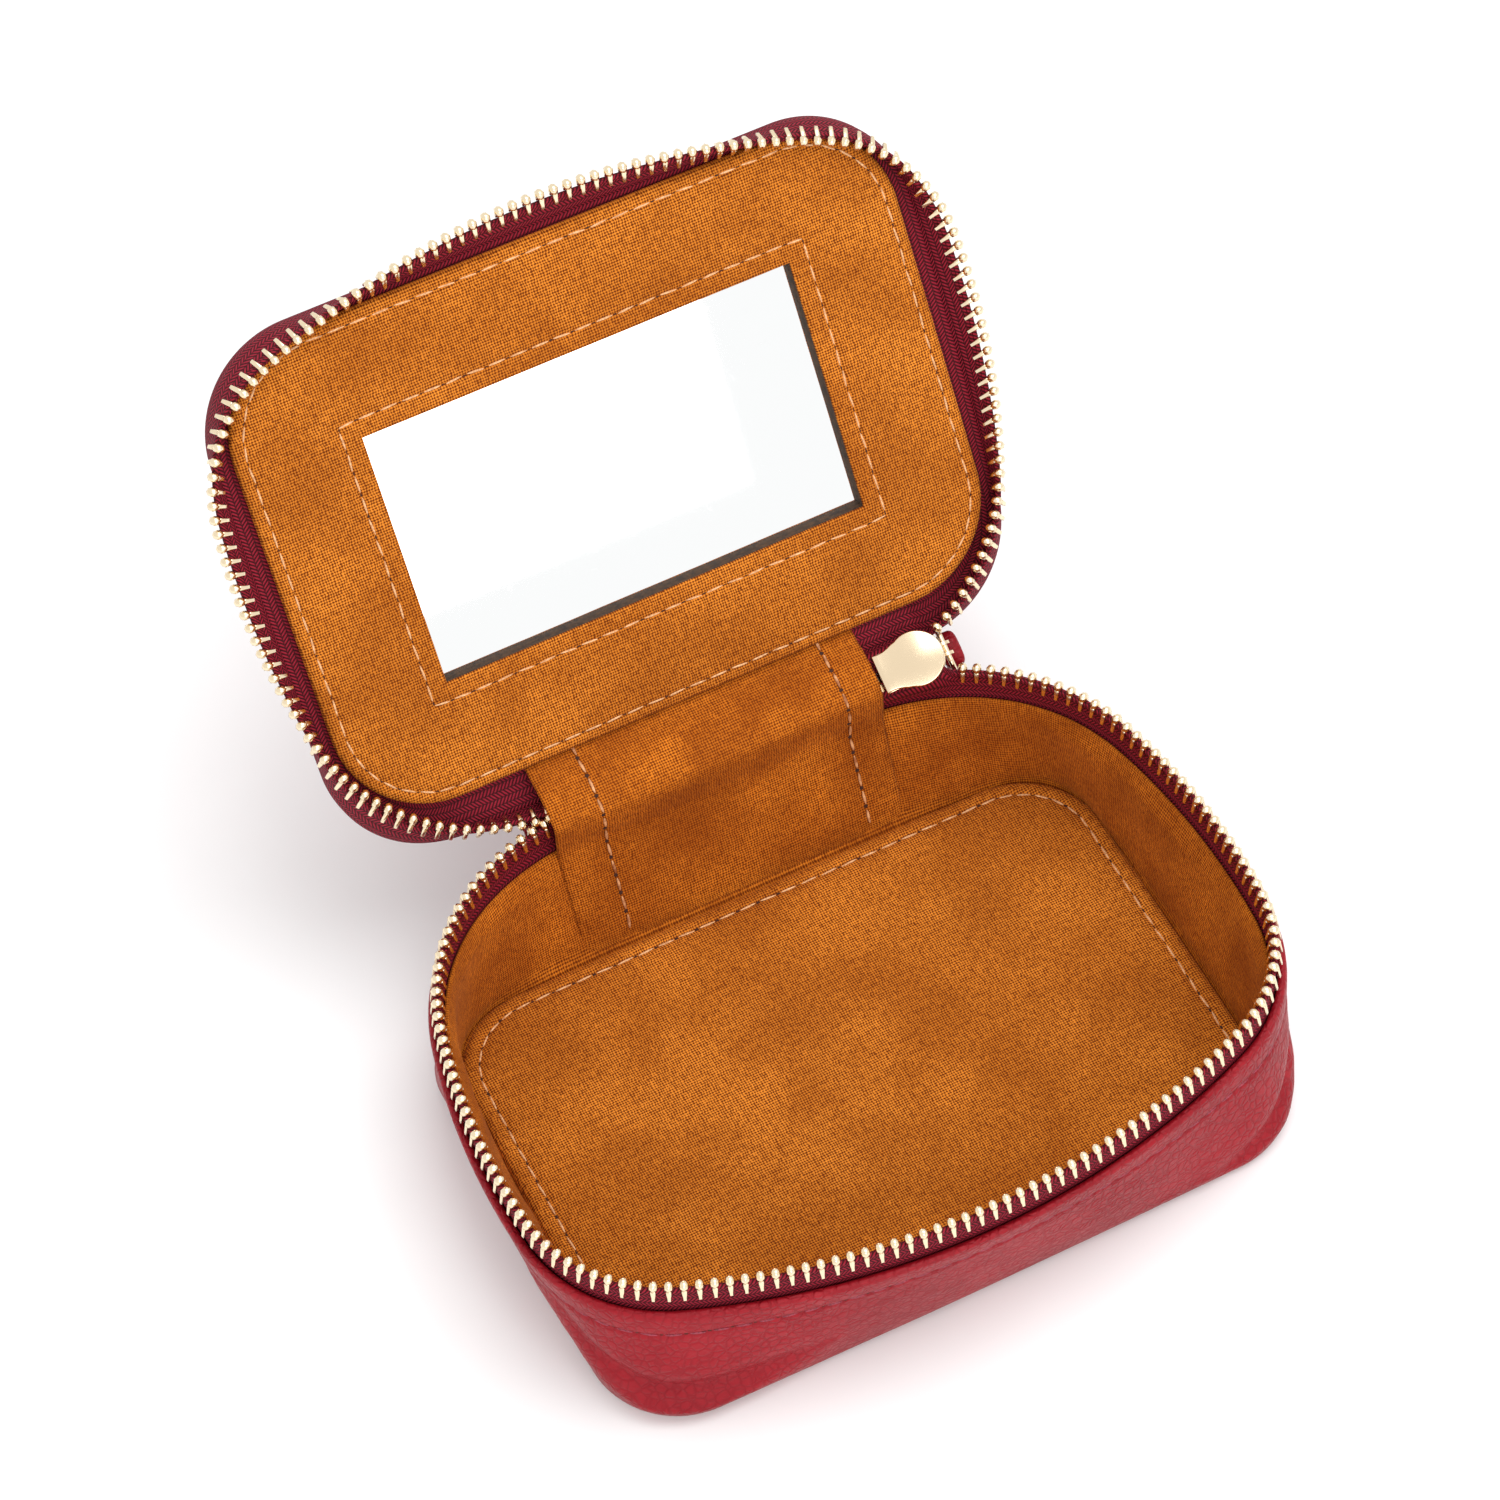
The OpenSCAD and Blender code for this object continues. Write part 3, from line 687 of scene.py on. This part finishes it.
# Rows: share from window (0) to rim (1), distance out of the window, distance in from the rim, height
PANEL_ROWS = [(0, 0.02, 0, 2.68), (0, 0.0, 0, 2.4), (0, 0.12, 0, 2.22), (0, 0.5, 0, 2.15), (0, 1.6, 0, 2.12),
              (0, 2.5, 0, 2.18), (0, 2.95, 0, 2.42), (0, 3.4, 0, 2.18), (0, 4.4, 0, 2.12),
              (0.15, 4.8, 6, 2.12), (0.35, 5, 6, 2.13), (0.55, 5, 6, 2.14), (0.75, 5, 5.6, 2.14), (1, 5, 4.4, 2.14),
              (1, 5, 2.9, 2.2), (1, 5, 2.4, 2.28), (1, 5, 2.0, 2.52), (1, 5, 1.6, 2.3), (1, 5, 1.0, 2.34),
              (1, 5, 0.45, 2.55), (1, 5, 0.1, 2.95), (1, 5, 0.0, 3.5), (1, 5, 0.15, 4.2), (1, 5, 0.8, 4.45)]


def panel_place(u, w):
    t, out, inset, height = rows_at(PANEL_ROWS, w)
    a = window_point(u, out)
    b = (panel_outline.at(remap(u, U_KNOTS, PANEL_SHARES), -inset)[0]
         + Vector((0, PANEL_MIDDLE)))
    p = a.lerp(b, smooth(0, 1, t) if 0 < t < 1 else t)
    if height < 2.6:
        height += 0.10 * ripple(p.x, p.y, 40, 16) + 0.05 * ripple(p.x, p.y, 60, 5)
    return opened((p.x, p.y, height))


def make_panel():
    bm = shaped_grid(320, len(PANEL_ROWS) - 1, panel_place, closed=True)
    flat_map(bm, lid=True)
    facing(bm, opened((0, PANEL_MIDDLE, 20)))
    obj = piece("lid_panel", bm, [suede_floor], "lid", ("lid_panel_suede",))

    def window_path(share):
        u = share % 1.0
        # Even spacing along the four sides
        length, depth = WINDOW[0] + 5.9, WINDOW[1] + 5.9
        whole = 2 * (length + depth)
        u = remap(u, [0, length / 2 / whole, (length / 2 + depth) / whole,
                      (1.5 * length + depth) / whole, (1.5 * length + 2 * depth) / whole, 1],
                  U_KNOTS)
        p = window_point(u, 2.95)
        return (opened((p.x, p.y, 2.42 + 0.1 * ripple(p.x, p.y, 40, 16))),
                opened((0, 0, -1)) - opened((0, 0, 0)))
    stitches("window_stitches", window_path, round(2 * (WINDOW[0] + WINDOW[1] + 11.8) / PITCH), "lid",
             peach_thread, 0.2, 0.8, 0.32)

    def rim_path(share):
        p = panel_outline.at(share, -2.0)[0] + Vector((0, PANEL_MIDDLE))
        return (opened((p.x, p.y, 2.52 + 0.1 * ripple(p.x, p.y, 40, 16))),
                opened((0, 0, -1)) - opened((0, 0, 0)))
    stitches("panel_stitches", rim_path, round(2 * panel_outline.half / PITCH), "lid", peach_thread,
             0.2, 0.8, 0.32)


# ---- Zip ----
# Widths of the cut tapes; the lid's is folded, and its inner leaf is this wide
BASE_TAPE, LID_TAPE, LID_TAPE_FOLD = 11.3, 14.4, 7.0
LID_TAPE_DROP = 6.2                # how far the lid tape's outer leaf goes down
TAPE_START, TAPE_END = 27.0 / (2 * rim.half), 1 - 26.6 / (2 * rim.half)


def tape_place(side):
    def place(u, w):
        share = TAPE_START + (TAPE_END - TAPE_START) * u
        drop = 1.0 + w * (BASE_TAPE if side < 0 else LID_TAPE_DROP)
        p = leaf(share, drop, side, 0.05 * math.sin(share * 900) * (1 - smooth(1, 5, drop)))
        if side < 0:
            # Below the leather's edge the tape leans in with the wall that it is sewn into
            lean = base_wall(share, HINGE_Z - drop, 0) - base_wall(share, EDGE_Z, 0)
            p += Vector((lean.x, lean.y, 0))
        return p
    return place


def bead_place(side):
    def place(u, w):
        share = TAPE_START + (TAPE_END - TAPE_START) * u
        a = 2 * math.pi * w
        middle = leaf(share, 1.2, side)
        down = (leaf(share, 2.2, side) - middle).normalized()
        ahead = (leaf(share + 0.0005, 1.2, side) - middle).normalized()
        outward = down.cross(ahead)
        return middle + 0.42 * math.sin(a) * down + 0.5 * math.cos(a) * outward
    return place


def add_tooth(bm, where, along, legs, outward):
    """A ball head, and two legs that clamp the tape."""
    turn = Matrix((along, outward, -legs)).transposed().to_4x4()
    base = Matrix.Translation(where) @ turn
    head = bmesh.ops.create_uvsphere(bm, u_segments=8, v_segments=5, radius=1)["verts"]
    bmesh.ops.transform(bm, matrix=base @ Matrix.Translation((0, 0, -0.12))
                        @ Matrix.Diagonal((0.76, 0.95, 0.82, 1)), verts=head)
    for side in (-1, 1):
        leg = bmesh.ops.create_cube(bm, size=1)["verts"]
        for v in leg:
            low = v.co.z < 0
            v.co = Vector((v.co.x * (0.62 if low else 0.74),
                           side * (0.98 if low else 0.62) + v.co.y * 0.48,
                           -2.35 if low else -0.35))
        bmesh.ops.transform(bm, matrix=base, verts=leg)
        edges = {e for v in leg for e in v.link_edges}
        bmesh.ops.bevel(bm, geom=list(edges), offset=0.1, affect="EDGES", segments=1, profile=0.5,
                        material=-1)


def make_zip():
    tape_length = (TAPE_END - TAPE_START) * 2 * rim.half
    for side, body, prefix, phase in ((-1, "base", "base", 0.0), (1, "lid", "lid", 0.5)):
        width = BASE_TAPE if side < 0 else LID_TAPE - LID_TAPE_FOLD
        bm = shaped_grid(460, 10, tape_place(side), (2 * rim.half, width))
        middle = (0, 0, HINGE_Z) if side < 0 else opened((0, -HINGE_Y, 0))
        facing(bm, middle)
        if side > 0:
            # The inner leaf of the folded tape, turned in under the panel
            inner = shaped_grid(
                400, 8, lambda u, w: leaf(TAPE_START + (TAPE_END - TAPE_START) * u, 4.4 + w, 1, 0,
                                          LID_TAPE_FOLD * w), (2 * rim.half, LID_TAPE_FOLD))
            facing(inner, opened((0, -HINGE_Y, 40)))
            fold = bpy.data.meshes.new("fold")
            inner.to_mesh(fold)
            inner.free()
            bm.from_mesh(fold)
            bpy.data.meshes.remove(fold)
        tape = thicken(piece(prefix + "_tape", bm, [tape_cloth], body,
                             (prefix + "_zip_tape",)), 0.6, 0.0)
        tape_length * MM
        bm = shaped_grid(460, 8, bead_place(side), (2 * rim.half, 2.6), closed=True)
        facing(bm, middle)
        piece(prefix + "_tape_bead", bm, [tape_cloth], body)
        bm = bmesh.new()
        row_start = 38.7 if side < 0 else 37.9
        for i in range(TOOTH_STEPS):
            share = (i + phase) / TOOTH_STEPS
            p = rim.at(share)[0]
            if p.y > -8 and -26.0 < p.x < row_start:
                continue
            where = leaf(share, 0.0, side)
            legs = (leaf(share, 2.0, side) - where).normalized()
            along = (leaf(share + 0.0005, 0, side) - leaf(share - 0.0005, 0, side)).normalized()
            outward = legs.cross(along).normalized()
            along = outward.cross(legs)
            add_tooth(bm, where, along, legs, outward)
        piece(prefix + "_teeth", bm, [zip_gold], body, (prefix + "_zip_teeth",), 40)


# ---- Slider and pull ----
def at_slider(p):
    c, s = math.cos(SLIDER_TURN), math.sin(SLIDER_TURN)
    dx = p[0] - TAIL_X
    return opened((TAIL_X + dx * c + p[1] * s, -0.3 - dx * s + p[1] * c, p[2]), HALF_OPEN)


def slider_frame():
    """The slider's own axes as one matrix: X to the nose, Y outwards, Z across."""
    zero = at_slider((0, 0, 0))
    cols = [at_slider(v) - zero for v in ((1, 0, 0), (0, 1, 0), (0, 0, 1))]
    return Matrix.Translation(zero) @ Matrix(cols).transposed().to_4x4()


HEAD_X = TAIL_X + 6.2
EYE_X, EYE_Y = HEAD_X + 4.7, 3.5


def slider_edge():
    half = [(0, 3.1), (0.9, 3.0), (1.8, 3.05), (2.7, 3.3), (3.4, 3.58)]
    head = [(6.2 + 4.3 * math.cos(math.radians(a)), 4.3 * math.sin(math.radians(a)))
            for a in range(120, -1, -8)]
    side = [(TAIL_X + x, z) for x, z in half + head]
    return side + [(x, -z) for x, z in reversed(side[:-1])]


def add_plate(bm, low, high):
    loop = [bm.verts.new((x, low, z)) for x, z in slider_edge()]
    face = bm.faces.new(loop)
    grown = bmesh.ops.extrude_face_region(bm, geom=[face])["geom"]
    verts = [g for g in grown if isinstance(g, bmesh.types.BMVert)]
    bmesh.ops.translate(bm, vec=(0, high - low, 0), verts=verts)
    mine = set(loop) | set(verts)
    edges = [e for e in bm.edges if e.verts[0] in mine and e.verts[1] in mine
             and abs(e.verts[0].co.y - e.verts[1].co.y) < 1e-6]
    bmesh.ops.bevel(bm, geom=edges, offset=0.22, affect="EDGES", segments=3, profile=0.5,
                    material=-1)


def add_block(bm, low, high, bevel=0.15):
    low, high = Vector(low), Vector(high)
    verts = bmesh.ops.create_cube(bm, size=1)["verts"]
    for v in verts:
        v.co = (low + high) / 2 + Vector(a * b for a, b in zip(v.co, high - low))
    edges = list({e for v in verts for e in v.link_edges})
    bmesh.ops.bevel(bm, geom=edges, offset=bevel, affect="EDGES", segments=2, profile=0.5,
                    material=-1)


def tube(path, radius, count, sides):
    """A closed wire through path(share), which lies in a plane across X."""
    def place(u, w):
        here, ahead = path(u), path(u + 0.002)
        go = (ahead - here).normalized()
        inward = Vector((1, 0, 0)).cross(go)
        a = 2 * math.pi * w
        return here + radius * (math.cos(a) * inward + math.sin(a) * Vector((1, 0, 0)))
    return shaped_grid(count, sides, place, (10, 1), closed=True)


def bail_path(share):
    """Rounded loop through the slider's eye and the leather's fold."""
    loop = rounded(7.0, 5.0, 1.6)
    p = loop.at(share)[0]
    return Vector((EYE_X, EYE_Y + 2.5 + p.y, p.x))


def pull_place(u, w):
    """Folded leather strip: u runs down its length and w round its section."""
    length = 20.0
    y = EYE_Y + 3.1 + u * (length - 3.1)
    t = u * length
    wide = 2.9 + 0.8 * smooth(2, 17, t)
    wide *= 1 - 0.42 * smooth(length - 3.2, length, t) ** 2
    thick = 1.65 - 0.65 * smooth(2.5, 6.5, t)
    ends = min(1.0, math.sqrt(max(0.0, 1 - ((0.9 - t) / 0.9) ** 2)) if t < 0.9 else 1.0,
               math.sqrt(max(0.0, 1 - ((t - length + 0.5) / 0.5) ** 2)) if t > length - 0.5 else 1.0)
    a = 2 * math.pi * w
    ca, sa = math.cos(a), math.sin(a)
    bend = 0.5 * math.sin(u * 2.2)
    fold = 0.7 * (1 - smooth(1.5, 8, t))
    x = EYE_X + fold + bend * u + thick * ends * math.copysign(abs(ca) ** 0.6, ca)
    z = wide * (0.5 + 0.5 * ends) * (1 if ends else 0) * math.copysign(abs(sa) ** 0.5, sa)
    return Vector((x, y, z))


def make_slider():
    turn = slider_frame()

    def set_in_place(bm):
        bmesh.ops.transform(bm, matrix=turn, verts=bm.verts)
        bmesh.ops.recalc_face_normals(bm, faces=bm.faces)
        return bm
    bm = bmesh.new()
    add_plate(bm, -2.45, -1.65)
    add_plate(bm, 1.65, 2.45)
    post = bmesh.ops.create_cone(bm, cap_ends=True, segments=20, radius1=1.1, radius2=1.1, depth=3.6)
    bmesh.ops.transform(bm, verts=post["verts"], matrix=Matrix.Translation((HEAD_X + 2.2, 0, 0))
                        @ Matrix.Rotation(math.pi / 2, 4, "X"))
    for low in (-1.8, 0.65):
        for z in (-3.1, 2.65):
            add_block(bm, (TAIL_X, low, z), (TAIL_X + 2.4, low + 1.15, z + 0.45), 0.08)
    add_block(bm, (HEAD_X - 2.6, 2.2, -1.1), (EYE_X - 0.6, 4.35, 1.1), 0.4)
    for z in (-1.1, 0.6):
        ring = bmesh.ops.create_cone(bm, cap_ends=True, segments=20, radius1=1.25, radius2=1.25,
                                     depth=0.5)
        bmesh.ops.transform(bm, verts=ring["verts"],
                            matrix=Matrix.Translation((EYE_X - 0.25, EYE_Y, z + 0.25)))
    piece("slider", set_in_place(bm), [slider_gold], "slider", ("zip_slider",), 35)
    piece("pull_ring", set_in_place(tube(bail_path, 0.45, 64, 10)), [slider_gold], "bail",
          ("pull_bail",))
    bm = set_in_place(shaped_grid(48, 32, pull_place, (20, 14), closed=True))
    piece("leather_pull", bm, [leather_red], "pull", ("pull_tab",))
    bm = bmesh.new()
    for side in (-1, 1):
        dome = bmesh.ops.create_uvsphere(bm, u_segments=20, v_segments=10, radius=1)["verts"]
        bmesh.ops.transform(bm, verts=dome, matrix=Matrix.Translation(
            (EYE_X + 0.12 + side * 1.15, EYE_Y + 8.4, 0)) @ Matrix.Diagonal((0.55, 1.5, 1.5, 1)))
    piece("pull_stud", set_in_place(bm), [slider_gold], "pull", ("pull_rivet",))


# ---- Hinge straps ----
def lid_section(y, z):
    """A shut lid's (y, z), opened, still measured from the hinge line."""
    p = opened((0, y, z))
    return p.y - HINGE_Y, p.z - HINGE_Z


SUEDE_SECTION = [lid_section(-14.0, 4.9), lid_section(-10.5, 4.8), lid_section(-8.3, 4.0),
                 lid_section(-6.6, 2.6), lid_section(-5.2, 0.9), (0.7, 3.3), (-1.4, 2.2), (-3.0, 0.8),
                 (-3.4, -0.9), (-3.2, -3.6), (-3.1, -7.0), (-4.5, -12.5), (-6.6, -18.5),
                 (-8.6, 4.2 - HINGE_Z)]


def on_section(points, share):
    """Smooth curve through section points, at a share of its length."""
    steps = [(Vector(a) - Vector(b)).length for a, b in zip(points, points[1:])]
    left, k = share * sum(steps), 0
    while k < len(steps) - 1 and left > steps[k]:
        left -= steps[k]
        k += 1
    place = min(k + left / steps[k], len(points) - 1)
    i = min(int(place), len(points) - 2)
    t = place - i
    p = [Vector(points[max(0, min(len(points) - 1, k))]) for k in (i - 1, i, i + 1, i + 2)]
    return 0.5 * (2 * p[1] + (p[2] - p[0]) * t + (2 * p[0] - 5 * p[1] + 4 * p[2] - p[3]) * t * t
                  + (3 * p[1] - p[0] - 3 * p[2] + p[3]) * t ** 3)


STRAP_SEAMS = (-19.6, 21.6)        # the strap's two rows of stitches


def strap_place(u, w, lift=0.0):
    p = on_section(SUEDE_SECTION, w)
    ahead = on_section(SUEDE_SECTION, min(1, w + 0.01)) - on_section(SUEDE_SECTION, max(0, w - 0.01))
    inward = Vector((ahead.y, -ahead.x)).normalized()
    x = -STRAP_HALF + 2 * STRAP_HALF * u
    slack = math.sin(math.pi * w) ** 2 * (0.35 * ripple(x, w * 30, 5, 13)
                                          + 0.1 * ripple(x, w * 40, 8, 4))
    edge = 0.25 * math.exp(-((abs(x) - STRAP_HALF) / 1.2) ** 2)
    dent = 0.15 * sum(math.exp(-((x - seam) / 1.1) ** 2) for seam in STRAP_SEAMS)
    p = p + inward * (slack - edge - dent + lift)
    return Vector((x, HINGE_Y + p.x, HINGE_Z + p.y))


def make_straps():
    start = (0, (HINGE_Y - 3.4) * MM, (HINGE_Z - 1.6) * MM)
    end = (0, (HINGE_Y + 1.6) * MM, (HINGE_Z + 3.7) * MM)
    length = sum((Vector(a) - Vector(b)).length for a, b in zip(SUEDE_SECTION, SUEDE_SECTION[1:]))
    bm = shaped_grid(70, 110, strap_place, (2 * STRAP_HALF, length))
    facing(bm, (0, HINGE_Y + 8, HINGE_Z - 12))
    strap = thicken(piece("suede_strap", bm, [suede_wall], None, ("hinge_lining",)), 0.7)
    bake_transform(strap)
    for name, x in zip(("strap_stitches_left", "strap_stitches_right"), STRAP_SEAMS):
        def path(share, x=x):
            w = 0.03 + 0.93 * share
            u = (x + STRAP_HALF) / (2 * STRAP_HALF)
            a, b = strap_place(u, w), strap_place(u, w, 1.0)
            return a, (b - a).normalized()
        stitches(name, path, round(0.93 * length / PITCH), None, tan_thread, 0.26, 0.75, 0.42, -0.16,
                 blend=(start, end))

    section = [(1.0, -9.0), (0.95, -6.8), (0.9, -4.6), (0.95, -2.9), (1.45, -2.0),
               lid_section(0.95, 2.9), lid_section(0.9, 4.6), lid_section(0.95, 6.8),
               lid_section(1.0, 9.0)]

    def back_place(u, w):
        p = on_section(section, w)
        return Vector((BACK_STRAP_HALF * (2 * u - 1), HINGE_Y + p.x, HINGE_Z + p.y))
    bm = shaped_grid(40, 64, back_place, (2 * BACK_STRAP_HALF, 22))
    facing(bm, (0, HINGE_Y, HINGE_Z))
    back = thicken(piece("leather_back_strap", bm, [leather_red], None, ("hinge_leather",)),
                   0.8, 0.0)
    (HINGE_Y + 0.6) * MM
    (HINGE_Z - 3.6) * MM
    (HINGE_Y + 2.7) * MM
    (HINGE_Z - 2.4) * MM
    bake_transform(back)


# ---- CAD nodes that stay, with their finishes ----
def finish_nodes():
    nodes = frame["nodes"]
    finishes = {
        "base_bottom_board": board_brown, "base_wall_stiffener": board_brown,
        "lid_board": board_brown, "mirror_card": board_brown, "lid_panel_board": board_brown,
        "mirror_glass": mirror_finish, "base_top_stop": zip_gold, "lid_top_stop": zip_gold,
        "zip_bottom_stop": zip_gold, "zip_end_chain": zip_gold,
    }
    for name, finish in finishes.items():
        mesh = nodes[name].data
        mesh.materials.clear()
        mesh.materials.append(finish)


# ---- Floor, light and camera ----
def make_studio():
    bm = bmesh.new()
    bmesh.ops.create_grid(bm, x_segments=1, y_segments=1, size=3000)
    ground = piece("ground", bm, [make_plain("pale_ground", (0.86, 0.86, 0.86), (0.88, 0.88, 0.88),
                                             0.02, 0.7)])
    world = bpy.data.worlds.new("studio")
    bpy.context.scene.world = world
    world.use_nodes = True
    sky = world.node_tree.nodes["Background"]
    sky.inputs["Color"].default_value = (1.0, 1.0, 1.0, 1)
    sky.inputs["Strength"].default_value = 1.0
    for name, place, size, power in (("key", (0.30, -0.05, 1.05), 0.8, 5.5),
                                     ("front", (-0.05, -1.0, 0.62), 0.8, 4.5)):
        lamp = bpy.data.lights.new(name, "AREA")
        lamp.shape, lamp.size, lamp.energy = "SQUARE", size, power
        obj = bpy.data.objects.new(name, lamp)
        obj.location = place
        obj.rotation_mode = "QUATERNION"
        obj.rotation_quaternion = (Vector((0, 0, 0.03)) - Vector(place)).to_track_quat("-Z", "Y")
        bpy.context.scene.collection.objects.link(obj)
    bpy.context.scene.view_settings.view_transform = "Standard"

    e, a, roll = math.radians(53.3), math.radians(-21.3), math.radians(-6)
    back = Vector((math.sin(a) * math.cos(e), -math.cos(a) * math.cos(e), math.sin(e)))
    right = Vector((math.cos(a), math.sin(a), 0))
    up = back.cross(right)
    c, s = math.cos(roll), math.sin(roll)
    turn = Matrix((right * c + up * s, up * c - right * s, back)).transposed()
    data = bpy.data.cameras.new("camera")
    data.sensor_width, data.lens = 36, 5237.6 * 36 / 1500
    data.clip_start, data.clip_end = 0.05, 20
    camera = bpy.data.objects.new("camera", data)
    camera.matrix_world = turn.to_4x4()
    camera.location = turn @ Vector((-16.8, 50.8, 791.0)) * MM
    bpy.context.scene.collection.objects.link(camera)
    bpy.context.scene.camera = camera


make_studio()
make_shells()
make_lining()
make_floor()
make_panel()
make_zip()
make_slider()
make_straps()
finish_nodes()

bpy.context.view_layer.update()
